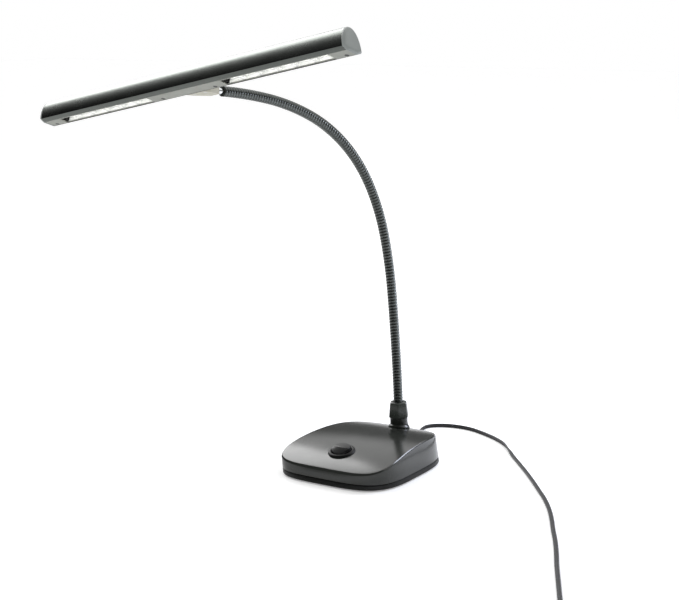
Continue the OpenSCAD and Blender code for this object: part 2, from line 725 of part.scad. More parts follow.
module head_cover() {
    low = 0.15;
    half = cover_w/2 - fit;
    color("#a9aba9") at_bar() difference() {
        between_ends(-fit) union() {
            translate([-bar_len/2 - 5, -half, low]) cube([bar_len + 10, 2*half, cover_t - low]);
            translate([-bar_len/2 - 5, -half - 0.6, cover_t]) cube([bar_len + 10, 2*half + 1.2, cover_lip]);
        }
        both_sides() translate([window_in, -window_w/2, -1]) cube([window_len, window_w, 8]);
        both_sides() translate([window_in - 0.8, -window_w/2 - 0.6, window_t])
            cube([window_len + 1.6, window_w + 1.2, 8]);
        for (x = [screw_out, screw_in]) both_sides() translate([x, screw_back, -1]) {
            cylinder(r = head_screw_r + screw_fit, h = 8);
            cylinder(r = head_screw_head + fit, h = 1 + 1.3);
        }
    }
}

// block inside the bar that takes the bracket's tongue and the two inner screws
module mount_block() {
    low = cover_t + cover_lip + fit/2;
    color("#9b9d9e") at_bar() difference() {
        translate([-block_len/2, -block_w/2, low]) cube([block_len, block_w, board_z + board_t - low - 0.05]);
        from_neck_end() translate([-tongue.x/2 - fit, tongue_low - fit, 15])
            cube([tongue.x + 2*fit, tongue.y + 2*fit, head_reach - 16 + 0.2]);
        both_sides() translate([screw_in, screw_back, 0]) cylinder(r = head_screw_r + screw_fit, h = 8);
    }
}

module at_window(side) at_bar() translate([side*(window_in + window_len/2), 0, 0]) children();

module each_led() {
    step = window_len/leds;
    for (i = [0:leds - 1]) translate([(i + 0.5)*step - window_len/2, 0, 0]) children();
}

// white strip with a rounded well for each LED, let into the cover
module reflector(side) {
    step = window_len/leds;
    low = cover_t + cover_lip + 0.02;
    foot = window_t + 0.03;
    color("#f1f2f0") at_window(side) difference() {
        union() {
            translate([-window_len/2 - 1, -4.9, low]) cube([window_len + 2, 9.8, strip_h - 0.04]);
            translate([-window_len/2 - 0.5, -window_w/2 - 0.4, foot])
                cube([window_len + 1, window_w + 0.8, low - foot + 1]);
        }
        each_led() {
            well(step - 1, window_w - 0.6, 2, foot - 1, low + 1);
            well(step - 3, window_w - 1.6, 2, low, board_z + 1);
        }
    }
}

// a hole with rounded corners from one height to another
module well(x, y, r, from, to) {
    translate([-x/2 + r, -y/2, from]) cube([x - 2*r, y, to - from]);
    translate([-x/2, -y/2 + r, from]) cube([x, y - 2*r, to - from]);
    for (i = [-1, 1], j = [-1, 1]) translate([i*(x/2 - r), j*(y/2 - r), from])
        cylinder(r = r, h = to - from, $fn = 24);
}

module led_board(side) {
    color("#f5f5f3") at_window(side)
        translate([-window_len/2 - 1, -4.6, board_z]) cube([window_len + 2, 9.2, board_t]);
}

module led_row(side) {
    color("#fff6c8") at_window(side) each_led() {
        translate([-led_size/2, -led_size/2, board_z - led_h]) cube([led_size, led_size, led_h]);
        translate([0, 0, board_z - led_h - 0.4]) cylinder(r = 1.8, h = 0.5);
    }
}

module head_wires() {
    h = board_z + board_t + 0.9;
    color("#7a2b22") at_bar() for (y = [-1.6, 1.6])
        wire([[-window_in - 6, y, h], [-window_in - 2, y, h], [window_in + 2, y, h], [window_in + 6, y, h]]);
}

// end cap: a bevelled plate outside the cut, and a plug inside the extrusion
module end_cap(side) {
    inset = 0.3;
    color("#9fa1a0") at_bar() {
        at_end(side) hull() {
            cap_slice(side, 0, fit/2, cap_t*0.3);
            cap_slice(side, cap_bevel/3, cap_t*0.6, 0.1);
            cap_slice(side, cap_bevel, cap_t - 0.1, 0.1);
        }
        difference() {
            intersection() {
                mirror([side < 0 ? 1 : 0, 0, 0]) translate([bar_len/2 - plug_len, 0, 0])
                    rotate([90, 0, 90]) linear_extrude(plug_len + 8) plug_outline(inset);
                at_end(side) translate([-40, -20, -10]) cube([40 + cap_t/4, 40, 60]);
            }
            translate([side*screw_out, screw_back, 0]) cylinder(r = head_screw_r + screw_fit, h = 9);
        }
    }
}

// a slice of the cap; the section is stretched as it appears on the leaning cut
module cap_slice(side, inset, x, t) translate([x, 0, 0]) rotate([90, 0, 90]) linear_extrude(t)
    scale([1, 1/cos(lean(side))]) bar_outline(-inset);

module plug_outline(inset) {
    low = cover_t + cover_lip + inset;
    polygon(arch(arch_r - bar_wall - inset - 0.35, bar_h - bar_wall - inset - low - 0.2, low));
}

module head_screws() {
    color("#141414") at_bar() for (x = [screw_out, screw_in]) both_sides() translate([x, screw_back, 0.3]) {
        difference() {
            cylinder(r = head_screw_head, h = 0.9);
            translate([0, 0, -0.5]) cube([2.6, 0.6, 1.6], center = true);
            translate([0, 0, -0.5]) cube([0.6, 2.6, 1.6], center = true);
        }
        cylinder(r = head_screw_r, h = head_screw_len);
    }
}

// ---------- lead ----------

// rings round the points of a path: wide and tall are half sizes across and up
function unit(v) = v/norm(v);
function heading(p, i) = unit(p[min(i + 1, len(p) - 1)] - p[max(i - 1, 0)]);
function lead_ring(c, d, wide, tall, n) = let (side = unit(cross(d, [0, 0, 1])), up = cross(side, d))
    [for (k = [0:n - 1]) let (t = 360*(k + 0.5)/n) c + wide*cos(t)*side + tall*sin(t)*up];
function lead_rings(p, wide, tall, n) = [for (i = [0:len(p) - 1])
    lead_ring(p[i], heading(p, i), wide(i/(len(p) - 1)), tall(i/(len(p) - 1)), n)];
function smooth(p, i, u) = let (a = p[max(i - 1, 0)], b = p[i], c = p[i + 1], d = p[min(i + 2, len(p) - 1)])
    0.5*(2*b + (c - a)*u + (2*a - 5*b + 4*c - d)*u*u + (3*b - a - 3*c + d)*u*u*u);

// the lead stands on edge at both ends and lies flat between
on_edge = 0.4;
function flat_share(s) = let (a = min(1, max(0, (s - on_edge)/0.06)), b = min(1, max(0, (0.985 - s)/0.05)))
    min(a, b);
function lead_wide(s) = lead_t/2 + (lead_w - lead_t)/2*flat_share(s);
function lead_tall(s) = lead_w/2 - (lead_w - lead_t)/2*flat_share(s);
function drop_height(y) = let (u = min(1, max(0, (y - back_y - gland_len)/36))) (1 - u*u*(3 - 2*u));

gland_end = [gland_x, back_y + gland_len, gland_z];
free_plan = concat(lead_route);
free_count = len(free_plan);
free_path = let (n = (free_count - 1)*2)
    [for (i = [0:n]) let (k = min(floor(i/2), free_count - 2), q = smooth(free_plan, k, i/2 - k),
        h = lead_tall(i/n) + 0.05 + (q.x < 0 && i < 16 ? (gland_z - lead_w/2)*drop_height(q.y) : 0))
        [q.x, q.y, h]];
free_start = concat([gland_end, gland_end + [0, 2.5, 0]], free_path);

// coil: the lower layer winds in, the upper one winds out again
coil_low = coil_lift + lead_w/2;
coil_z_rise = coil_layer;
coil_steps = loop_rings*(2*coil_turns + 1);
coil_in = (coil_turns + 1.5)*coil_pitch;
// the lead winds in, climbs to the upper layer inside the turns, and winds out again
function coil_radius(n) = let (edge = min(n, 2*coil_turns + 1 - n),
    u = min(1, max(0, (edge - coil_turns + 0.15)/0.35)))
    coil_r - coil_pitch*edge - coil_pitch*u*u*(3 - 2*u);
function coil_height(n) = let (u = min(1, max(0, n - coil_turns - 0.25)/0.5))
    coil_low + coil_z_rise*u*u*(3 - 2*u);
function coil_point(n) = let (a = coil_turn + 360*n, r = coil_radius(n))
    [coil_at.x + r*cos(a), coil_at.y + r*sin(a), coil_height(n)];
coil_path = [for (i = [0:coil_steps]) coil_point(i/loop_rings)];
coil_end = coil_path[coil_steps];
coil_out = unit(coil_path[coil_steps] - coil_path[coil_steps - 1]);
coil_gap = min([for (i = [0:3:coil_steps], j = [i + 18:coil_steps])
    let (d = coil_path[i] - coil_path[j]) max(norm([d.x, d.y]) - lead_t, abs(d.z) - lead_w)]);
echo(least_gap_between_turns = coil_gap);

module lead_free() {
    path = concat(free_start, [coil_path[0]]);
    color("#1c1c1e") skin(lead_rings(path, function (s) lead_wide(s), function (s) lead_tall(s), 8));
}

module lead_coil()
    color("#1c1c1e") skin(lead_rings(coil_path, function (s) lead_t/2, function (s) lead_w/2, 6));

// from the coil to the power supply
adapter_gland = [adapter_at.x + (adapter_len/2 + 9)*cos(adapter_turn + 180),
    adapter_at.y + (adapter_len/2 + 9)*sin(adapter_turn + 180), adapter_h/2];
module lead_tail() {
    a = coil_end;
    b = adapter_gland;
    m = [cos(adapter_turn), sin(adapter_turn), 0];
    reach = norm(b - a)*1.1;
    path = [for (i = [0:10]) let (u = i/10, v = u*u*(3 - 2*u))
        (2*pow(u, 3) - 3*u*u + 1)*a + (pow(u, 3) - 2*u*u + u)*reach*coil_out
        + (3*u*u - 2*pow(u, 3))*b + (pow(u, 3) - u*u)*reach*m];
    color("#1c1c1e") skin(lead_rings(path, function (s) lead_t/2, function (s) lead_w/2, 8));
}

// ribbed strain relief in the back wall
module cord_gland() {
    r = lead_w/2 + 2;
    color("#151515") translate([gland_x, back_y, gland_z]) rotate([-90, 0, 0]) difference() {
        union() {
            translate([0, 0, -4]) cylinder(r = r, h = 6);
            translate([0, 0, -5.4]) cylinder(r = r + 1.2, h = 2.2);
            translate([0, 0, 1.7]) cylinder(r = r + 0.8, h = 1.2);
            translate([0, 0, 2]) cylinder(r1 = r - 0.1, r2 = lead_w/2 + 0.4, h = gland_len - 2);
            for (k = [0:3]) translate([0, 0, 5 + 3*k]) cylinder(r = r - 0.4 - 0.32*k, h = 1.4);
        }
        translate([0, 0, -6]) cylinder(r = 2.2, h = 5);
    }
}

module coil_tie() {
    inner = coil_r - coil_in - lead_t/2 - 0.4;
    span = coil_in + lead_t + 0.8;
    high = coil_lift + lead_w + coil_layer + 0.4;
    color("#2a2a2a") translate([coil_at.x, coil_at.y, 0]) rotate([0, 0, 95]) difference() {
        translate([inner - tie_t, -tie_w/2, 0.05]) cube([span + 2*tie_t, tie_w, high + tie_t]);
        translate([inner, -tie_w, coil_lift - 0.05]) cube([span, 2*tie_w, high - coil_lift + 0.05]);
    }
}

module at_adapter() translate([adapter_at.x, adapter_at.y, 0]) rotate([0, 0, adapter_turn]) children();

module adapter_body() {
    r = 4;
    color("#1a1a1a") at_adapter() {
        hull() for (x = [-1, 1], y = [-1, 1]) translate([x*(adapter_len/2 - r), y*(adapter_w/2 - r), 0]) {
            translate([0, 0, 1]) cylinder(r = r, h = adapter_h - 2, $fn = 24);
            cylinder(r = r - 1, h = adapter_h, $fn = 24);
        }
        translate([-adapter_len/2 - 9, 0, adapter_h/2]) rotate([0, 90, 0])
            cylinder(r1 = lead_w/2 + 0.4, r2 = 4.5, h = 10);
    }
}

module adapter_pins() {
    color("#c8cbcc") at_adapter() for (y = [-1, 1])
        translate([adapter_len/2, y*pin_gap/2, adapter_h/2]) rotate([0, 90, 0]) {
            cylinder(r = 2, h = pin_len - 1);
            translate([0, 0, pin_len - 1]) cylinder(r1 = 2, r2 = 1.2, h = 1);
        }
}

// ---------- nodes ----------

base_housing();
base_plate();
ballast_weight();
base_pad();
base_screws();
switch_body();
switch_rocker();
switch_terminals();
inner_wires();
cord_gland();
collar_bush();
threaded_nipple();
nipple_washer();
nipple_nut();
collar_nut();
neck_section(0);  // neck_section_1
neck_section(1);  // neck_section_2
neck_section(2);  // neck_section_3
neck_section(3);  // neck_section_4
neck_section(4);  // neck_section_5
neck_section(5);  // neck_section_6
neck_section(6);  // neck_section_7
neck_section(7);  // neck_section_8
end_tube();
neck_bracket();
bracket_cover();
bracket_screws();
head_shell();
head_cover();
mount_block();
reflector(-1);  // reflector_left
reflector(1);  // reflector_right
led_board(-1);  // led_board_left
led_board(1);  // led_board_right
led_row(-1);  // leds_left
led_row(1);  // leds_right
head_wires();
end_cap(-1);  // end_cap_left
end_cap(1);  // end_cap_right
head_screws();
lead_free();
lead_coil();
lead_tail();
coil_tie();
adapter_body();
adapter_pins();
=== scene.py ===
import math

import bmesh
import bpy
import numpy as np
from mathutils import Matrix, Vector


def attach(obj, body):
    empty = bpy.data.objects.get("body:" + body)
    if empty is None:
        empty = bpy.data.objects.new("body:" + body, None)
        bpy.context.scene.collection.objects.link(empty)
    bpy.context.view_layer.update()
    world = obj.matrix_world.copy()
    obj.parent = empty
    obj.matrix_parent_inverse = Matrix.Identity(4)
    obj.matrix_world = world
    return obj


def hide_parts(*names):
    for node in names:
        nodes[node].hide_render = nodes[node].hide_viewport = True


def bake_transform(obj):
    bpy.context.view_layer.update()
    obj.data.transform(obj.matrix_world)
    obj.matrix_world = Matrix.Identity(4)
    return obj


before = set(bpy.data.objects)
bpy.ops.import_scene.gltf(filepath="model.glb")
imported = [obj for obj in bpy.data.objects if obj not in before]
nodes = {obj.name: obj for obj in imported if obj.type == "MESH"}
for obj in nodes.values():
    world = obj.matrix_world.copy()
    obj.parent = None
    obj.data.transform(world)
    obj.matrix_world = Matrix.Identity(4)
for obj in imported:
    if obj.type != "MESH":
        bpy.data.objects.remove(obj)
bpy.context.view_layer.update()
MM = 0.001

# ---------- camera: where the photograph was taken from ----------

cam = bpy.data.objects.new("camera", bpy.data.cameras.new("camera"))
bpy.context.scene.collection.objects.link(cam)
bpy.context.scene.camera = cam
cam.location = (0.74891, -1.13706, 0.38576)
cam.rotation_euler = (math.radians(90 - 9.970), 0, math.radians(34.312))
cam.data.sensor_width = 36
cam.data.lens = 86.91
cam.data.clip_start, cam.data.clip_end = 0.01, 60


# ---------- helpers for meshes; sizes are in mm until the mesh is made ----------

def piece(name, verts, faces, mat=None, body="base", angle=35, matrix=None):
    """A mesh object from points in mm; edges sharper than angle stay sharp."""
    v = np.asarray(verts, float)
    if matrix is not None:
        m = np.array(matrix, float)
        v = v @ m[:3, :3].T + m[:3, 3]
    me = bpy.data.meshes.new(name)
    me.from_pydata((v * MM).tolist(), [], [list(f) for f in faces])
    me.validate()
    o = bpy.data.objects.new(name, me)
    bpy.context.scene.collection.objects.link(o)
    tidy(o, angle)
    if mat:
        me.materials.append(mat)
    if body:
        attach(o, body)
    return o


def tidy(o, angle):
    """Outward normals, smooth shading, sharp edges above the angle."""
    bm = bmesh.new()
    bm.from_mesh(o.data)
    bmesh.ops.recalc_face_normals(bm, faces=bm.faces)
    for f in bm.faces:
        f.smooth = True
    for e in bm.edges:
        e.smooth = not (len(e.link_faces) == 2 and e.calc_face_angle(0) > math.radians(angle))
    bm.to_mesh(o.data)
    bm.free()


def ring_faces(count, n, closed=False):
    """Faces between count rings of n points each; an open run gets a face at both ends."""
    out = []
    for j in range(count if closed else count - 1):
        k = (j + 1) % count
        for i in range(n):
            l = (i + 1) % n
            out.append((j * n + i, j * n + l, k * n + l, k * n + i))
    if not closed:
        out.append(tuple(range(n))[::-1])
        out.append(tuple((count - 1) * n + i for i in range(n)))
    return out


def loft(name, rings, mat=None, body="base", closed=False, **more):
    faces = ring_faces(len(rings), len(rings[0]), closed)
    return piece(name, [p for r in rings for p in r], faces, mat, body, **more)


def circle(radius, z, segs):
    turns = [2 * math.pi * i / segs for i in range(segs)]
    return [(radius * math.cos(a), radius * math.sin(a), z) for a in turns]


def lathe(name, profile, mat, body="base", segs=64, **more):
    """profile is [(radius, height)], turned about Z; it closes on itself."""
    return loft(name, [circle(r, z, segs) for r, z in profile], mat, body, closed=True, **more)


def rod(name, radius, low, high, matrix, segs=96):
    """A cylinder to cut with."""
    return loft(name, [circle(radius, z, segs) for z in (low, high)], None, None, matrix=matrix)


def rx(deg):
    return np.array(Matrix.Rotation(math.radians(deg), 4, "X"))


def ry(deg):
    return np.array(Matrix.Rotation(math.radians(deg), 4, "Y"))


def rz(deg):
    return np.array(Matrix.Rotation(math.radians(deg), 4, "Z"))


def move(x, y, z):
    return np.array(Matrix.Translation((x, y, z)))


def rounded(points, radius, steps):
    """The closed outline with its corners rounded; radius is one number or one per corner."""
    n = len(points)
    out = []
    for i, p in enumerate(points):
        r = radius[i] if hasattr(radius, "__len__") else radius
        a, b = np.array(points[i - 1], float), np.array(points[(i + 1) % n], float)
        p = np.array(p, float)
        if r <= 0:
            out.append(p)
            continue
        to_a, to_b = np.linalg.norm(a - p), np.linalg.norm(b - p)
        u, w = (a - p) / to_a, (b - p) / to_b
        half = math.acos(max(-1, min(1, float(u @ w)))) / 2
        d = min(r / math.tan(half), 0.49 * to_a, 0.49 * to_b)
        s, e = p + u * d, p + w * d
        for k in range(steps + 1):
            t = k / steps
            out.append((1 - t) ** 2 * s + 2 * t * (1 - t) * p + t * t * e)
    return [tuple(q) for q in out]


def cut(o, *cutters):
    """Cuts the cutters out of o, and removes them."""
    for c in cutters:
        m = o.modifiers.new("cut", "BOOLEAN")
        m.operation, m.object, m.solver = "DIFFERENCE", c, "EXACT"
    bpy.context.view_layer.update()
    cut_o = o.evaluated_get(bpy.context.evaluated_depsgraph_get())
    made = bpy.data.meshes.new_from_object(cut_o)
    o.modifiers.clear()
    o.data = made
    for c in cutters:
        bpy.data.objects.remove(c)


# ---------- helpers for materials ----------

def colour(h):
    """Linear colour from a six-digit sRGB one."""
    c = [int(h[i:i + 2], 16) / 255 for i in (1, 3, 5)]
    return [x / 12.92 if x <= 0.04045 else ((x + 0.055) / 1.055) ** 2.4 for x in c] + [1]


def add(nt, kind, **sets):
    """A node with its properties and its unlinked inputs set."""
    n = nt.nodes.new(kind)
    for k, v in sets.items():
        if hasattr(n, k):
            setattr(n, k, v)
        else:
            n.inputs[k.replace("_", " ")].default_value = v
    return n


def put(nt, value, socket):
    """Links the value to the socket, or sets it there when it is a plain one."""
    if isinstance(value, bpy.types.NodeSocket):
        nt.links.new(value, socket)
    else:
        socket.default_value = value


def noise(nt, size, stretch=(1, 1, 1)):
    """Noise whose features are about size mm wide."""
    place = add(nt, "ShaderNodeMapping", Scale=stretch)
    nt.links.new(add(nt, "ShaderNodeTexCoord").outputs["Object"], place.inputs["Vector"])
    n = add(nt, "ShaderNodeTexNoise", Scale=1000 / size, Detail=3.0)
    nt.links.new(place.outputs[0], n.inputs["Vector"])
    return n.outputs[0]


def ramp(nt, value, low, high, a, b):
    """a up to low, b from high on, and an even slope between."""
    n = add(nt, "ShaderNodeMapRange", From_Min=low, From_Max=high, To_Min=a, To_Max=b)
    nt.links.new(value, n.inputs["Value"])
    return n.outputs[0]


def calc(nt, kind, a, b=0):
    n = add(nt, "ShaderNodeMath", operation=kind)
    put(nt, a, n.inputs[0])
    put(nt, b, n.inputs[1])
    return n.outputs[0]


def toward(nt, vector, axis):
    """How far a direction or a place lies along the axis."""
    n = add(nt, "ShaderNodeVectorMath", operation="DOT_PRODUCT")
    n.inputs[1].default_value = axis
    nt.links.new(vector, n.inputs[0])
    return n.outputs["Value"]


def mix(nt, kind, factor, a, b):
    """a where factor is 0 and b where it is 1; kind is RGBA or VALUE."""
    n = add(nt, "ShaderNodeMix", data_type="RGBA" if kind == "RGBA" else "FLOAT")
    put(nt, factor, n.inputs[0])
    # the node has an A and a B for every kind
    for name, value in (("A", a), ("B", b)):
        put(nt, value, [i for i in n.inputs if i.name == name and i.type == kind][0])
    return [o for o in n.outputs if o.type == kind][0]


def for_ray(nt, kind, other, value):
    """value for one kind of ray, other for the rest."""
    is_kind = add(nt, "ShaderNodeLightPath").outputs[f"Is {kind} Ray"]
    return mix(nt, "VALUE", is_kind, other, value)


def surface(name, shade, rough, metal=0.0, ior=1.5, vary=0.06, patch=18, grain=0.5,
            depth=0.01, strength=0.5, rough_vary=0.06, stretch=(1, 1, 1)):
    """A surface with slow changes of shade, uneven gloss and a fine grain.

    grain and patch are widths in mm, depth is the grain's height in mm.
    """
    m = bpy.data.materials.new(name)
    m.use_nodes = True
    nt = m.node_tree
    b = nt.nodes["Principled BSDF"]
    b.inputs["Metallic"].default_value = metal
    b.inputs["IOR"].default_value = ior
    dark, pale = ([min(1, x * (1 + v)) for x in colour(shade)[:3]] + [1] for v in (-vary, vary))
    patches = ramp(nt, noise(nt, patch), 0.3, 0.7, 0, 1)
    nt.links.new(mix(nt, "RGBA", patches, dark, pale), b.inputs["Base Color"])
    uneven = noise(nt, patch * 0.4)
    nt.links.new(ramp(nt, uneven, 0.3, 0.7, rough - rough_vary, rough + rough_vary),
                 b.inputs["Roughness"])
    bump = add(nt, "ShaderNodeBump", Strength=strength, Distance=depth * MM)
    nt.links.new(noise(nt, grain, stretch), bump.inputs["Height"])
    nt.links.new(bump.outputs[0], b.inputs["Normal"])
    return m


def glowing(name, shade, strength):
    m = surface(name, shade, 0.4, grain=0.6, depth=0.004)
    b = m.node_tree.nodes["Principled BSDF"]
    b.inputs["Emission Color"].default_value = colour(shade)
    b.inputs["Emission Strength"].default_value = strength
    return m


# housing: moulded ABS with a fine satin grain, dark warm grey
HOUSING = surface("housing_satin_plastic", "#262825", 0.18, vary=0.04, patch=40, grain=0.35,
                  depth=0.003, strength=0.25, rough_vary=0.02)
# tray: coloured darker than the housing, and moulded a little rougher
TRAY = surface("tray_matte_plastic", "#131412", 0.42, ior=1.35, depth=0.012)
# pad: soft rubber, dull
PAD = surface("pad_rubber", "#161616", 0.75, grain=0.8, depth=0.03)
# switch: polished black nylon on the rocker, dull bezel
BEZEL = surface("bezel_nylon", "#0b0c0b", 0.42, ior=1.3, grain=0.3, depth=0.006)
ROCKER = surface("rocker_nylon", "#080909", 0.16, ior=1.35, depth=0.002, rough_vary=0.03)
# collar: black powder coat over a steel nut
COAT = surface("collar_powder_coat", "#1c1f1c", 0.3)
# hexagon on the collar: the same coat painted lighter, a painted sheen for the light its facets
# catch
SHEEN_NUT_COAT = surface("nut_coat_painted_sheen", "#333733", 0.26)
# gooseneck: black oxide on wound steel wire, worn brighter on the ribs
NECK = surface("gooseneck_black_steel", "#5c5f5d", 0.28, metal=1, vary=0.1, patch=6, grain=0.25,
               depth=0.004)
# end tube: nickel-plated brass, polished
CHROME = surface("tube_bright_nickel", "#dfe2e2", 0.12, metal=1, grain=0.2, depth=0.002,
                 rough_vary=0.04)
# bracket: grey-beige lacquer over die-cast zinc
BRACKET = surface("bracket_grey_lacquer", "#b3b09f", 0.45, vary=0.05, grain=0.4)
# bar: extruded aluminium, anodised black, drawn along its length
SHELL = surface("bar_black_anodised", "#646864", 0.26, metal=1, vary=0.03, patch=40, grain=0.35,
                depth=0.002, stretch=(0.05, 1, 1), strength=0.25, rough_vary=0.02)
# cover: aluminium strip with a grey matte lacquer; painted shade is mixed into it behind each
# window further down
COVER = surface("cover_grey_lacquer", "#93958d", 0.5, vary=0.05, grain=0.35, depth=0.008)
# end caps: moulded grey plastic with a fine leather grain
CAP = surface("cap_grained_plastic", "#8a8f8d", 0.42, vary=0.04, grain=0.6, depth=0.02,
              strength=0.7)
# screws: black zinc on the bar, bright zinc below the base
DARK_SCREW = surface("screw_black_zinc", "#151515", 0.35, metal=0.6, grain=0.2)
ZINC = surface("screw_bright_zinc", "#b9bcbd", 0.3, metal=1, grain=0.3, depth=0.004)
# reflectors: gloss white plastic; boards: white solder mask
WHITE = surface("reflector_white_plastic", "#f1f2f0", 0.25, vary=0.02, grain=0.6, depth=0.003)
BOARD = surface("board_solder_mask", "#e9eae7", 0.4, vary=0.02, grain=0.4, depth=0.003)
LED = glowing("led_phosphor", "#fffdf8", 4.0)
# lead: soft PVC, satin black
LEAD = surface("lead_pvc", "#1a1a1b", 0.42, grain=0.9)
# what is hidden inside: terminals, wires, the collar's nipple, the ballast and the bar's block
BRASS = surface("terminal_brass", "#c2a760", 0.3, metal=1, grain=0.3)
WIRE = surface("wire_red_pvc", "#6f2018", 0.45, grain=0.6)
STEEL = surface("nipple_zinc_steel", "#8c8f90", 0.35, metal=1, grain=0.4)
IRON = surface("ballast_raw_steel", "#55585a", 0.55, metal=0.9, vary=0.2, patch=8, grain=0.7,
               depth=0.03)
BLOCK = surface("block_raw_aluminium", "#9a9c9d", 0.4, metal=1, grain=0.3)


# ---------- lead: one flat twin cord from the gland to the power supply ----------

LEAD_W, LEAD_T = 3.6, 1.8
ROUTE = [[-12, 84], [-13, 96], [-17, 110], [-22, 124], [-26, 136], [-27, 146], [-22, 154],
         [-12, 160], [0, 162], [14, 160], [30, 153], [46, 144], [62, 132], [76, 117], [88, 102],
         [102, 86], [121, 64], [140, 41], [155, 22], [170, 3], [186, -20], [200, -43], [213, -66],
         [227, -90], [240, -114], [252, -137], [264, -159], [276, -181], [288, -203], [299, -224],
         [308, -241]]
GLAND = (-12, 64, 9.6)
GLAND_LEN = 16
# the lead sinks to the table over FALL mm behind the gland
FALL = 36
# shares of the route: the lead turns flat from the first one, and is on edge again at the second
FLAT_FROM, EDGE_FROM = 0.4, 0.985
TWIST_IN, TWIST_OUT = 0.06, 0.05
COIL_AT, COIL_TURN, COIL_R, COIL_TURNS, COIL_GAP, COIL_FOOT = (338, -242), 208, 26, 4, 0.6, 0.7
SUPPLY_AT, SUPPLY_TURN, SUPPLY_HALF = (376, -306, 13), -46, 38
SPAN_STEPS, TURN_STEPS, END_STEPS = 4, 36, 14


def clamp(u):
    return min(1, max(0, u))


def ease(u):
    u = clamp(u)
    return u * u * (3 - 2 * u)


def flat_share(s):
    """How far the lead has turned flat, 0 to 1, at a share of the route."""
    return min(clamp((s - FLAT_FROM) / TWIST_IN), clamp((EDGE_FROM - s) / TWIST_OUT))


def catmull(p, i, u):
    """A point of the smooth curve through p, the share u past point i."""
    a, b, c, d = (np.array(p[max(0, min(k, len(p) - 1))], float) for k in range(i - 1, i + 3))
    return 0.5 * (2 * b + (c - a) * u + (2 * a - 5 * b + 4 * c - d) * u * u
                  + (3 * b - a - 3 * c + d) * u ** 3)


def route_points():
    """From the gland along the table, and how far the lead stands on edge, 0 to 1."""
    x, y, z = GLAND
    pts = [np.array([x, y + GLAND_LEN - 3, z]), np.array([x, y + GLAND_LEN, z])]
    edge = [1.0, 1.0]
    n = (len(ROUTE) - 1) * SPAN_STEPS
    for i in range(n + 1):
        k = min(i // SPAN_STEPS, len(ROUTE) - 2)
        q = catmull(ROUTE, k, i / SPAN_STEPS - k)
        f = flat_share(i / n)
        h = LEAD_W / 2 - (LEAD_W - LEAD_T) / 2 * f + 0.05
        if q[0] < 0:
            h += (z - LEAD_W / 2) * (1 - ease((q[1] - y - GLAND_LEN) / FALL))
        pts.append(np.array([q[0], q[1], h]))
        edge.append(1 - f)
    return pts, edge


def coil_points():
    """Winds in, climbs to the upper layer inside the turns, and winds out again."""
    out = []
    pitch = LEAD_T + COIL_GAP
    total = 2 * COIL_TURNS + 1
    for i in range(total * TURN_STEPS + 1):
        m = i / TURN_STEPS
        far = min(m, total - m)
        r = COIL_R - pitch * far - pitch * ease((far - COIL_TURNS + 0.15) / 0.35)
        a = math.radians(COIL_TURN + 360 * m)
        z = COIL_FOOT + LEAD_W / 2 + (LEAD_W + COIL_GAP) * ease((m - COIL_TURNS - 0.25) / 0.5)
        out.append(np.array([COIL_AT[0] + r * math.cos(a), COIL_AT[1] + r * math.sin(a), z]))
    return out


def supply_points(before, a):
    """From the coil's end a, which runs on from before, to the power supply."""
    turn = math.radians(SUPPLY_TURN)
    aim = np.array([math.cos(turn), math.sin(turn), 0])
    b = np.array(SUPPLY_AT) - SUPPLY_HALF * aim
    out = (a - before) / np.linalg.norm(a - before)
    reach = np.linalg.norm(b - a) * 1.1
    pts = []
    for i in range(1, END_STEPS + 1):
        u = i / END_STEPS
        pts.append((2 * u ** 3 - 3 * u * u + 1) * a + (u ** 3 - 2 * u * u + u) * reach * out
                   + (3 * u * u - 2 * u ** 3) * b + (u ** 3 - u * u) * reach * aim)
    return pts


def twin_section():
    """Outline of the flat twin lead: two round cores with a groove between them."""
    r, c = LEAD_T / 2, (LEAD_W - LEAD_T) / 2
    half = [(c + r * math.cos(math.radians(a)), r * math.sin(math.radians(a)))
            for a in (-115, -75, -38, 0, 38, 75, 115)]
    groove = r * 0.62
    return half + [(0, groove)] + [(-x, -y) for x, y in half] + [(0, -groove)]


lead_points, lead_edge = route_points()
lead_points += coil_points()
lead_points += supply_points(*lead_points[-2:])
lead_edge += [1.0] * (len(lead_points) - len(lead_edge))
lead_rings = []
for i, p in enumerate(lead_points):
    d = lead_points[min(i + 1, len(lead_points) - 1)] - lead_points[max(i - 1, 0)]
    d = d / np.linalg.norm(d)
    side = np.cross(d, [0, 0, 1])
    side = side / np.linalg.norm(side)
    up = np.cross(side, d)
    a = math.radians(90 * lead_edge[i])
    wide = side * math.cos(a) + up * math.sin(a)
    thin = -side * math.sin(a) + up * math.cos(a)
    lead_rings.append([p + wide * x + thin * y for x, y in twin_section()])
lead = loft("lead", lead_rings, LEAD, "base", angle=60)
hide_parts("lead_free", "lead_coil", "lead_tail")
lead_steps = zip(lead_points, lead_points[1:])
lead_length = sum(float(np.linalg.norm(b - a)) for a, b in lead_steps) * MM

# ---------- base ----------

HALF_W, HALF_D, TAPER = 53.5, 66.0, 0.10
FRONT_H, BACK_H, RISE, CROWN = 13.0, 21.5, 8.7, 1.2
FLOOR_Z, TRAY_H, TRAY_FLOOR, SKIN = 1.0, 4.4, 2.0, 2.2
# powers of the superellipse: at the tray's foot, and on the top edge in front and at the back
FOOT_POWER, FRONT_POWER, BACK_POWER = 3.6, 4.95, 3.9
# how far the walls lean in up to the top edge, in front and at the back
LEAN_FRONT, LEAN_BACK = 1.9, 4.0


def outline_at(t, n=None):
    """A point of the outline; without n that of the top edge, which is rounder at the back."""
    c, s = math.cos(t), math.sin(t)
    n = n or (BACK_POWER if s > 0 else FRONT_POWER)
    x = math.copysign(abs(c) ** (2 / n), c)
    y = math.copysign(abs(s) ** (2 / n), s)
    return HALF_W * x * (1 - TAPER * y), HALF_D * y


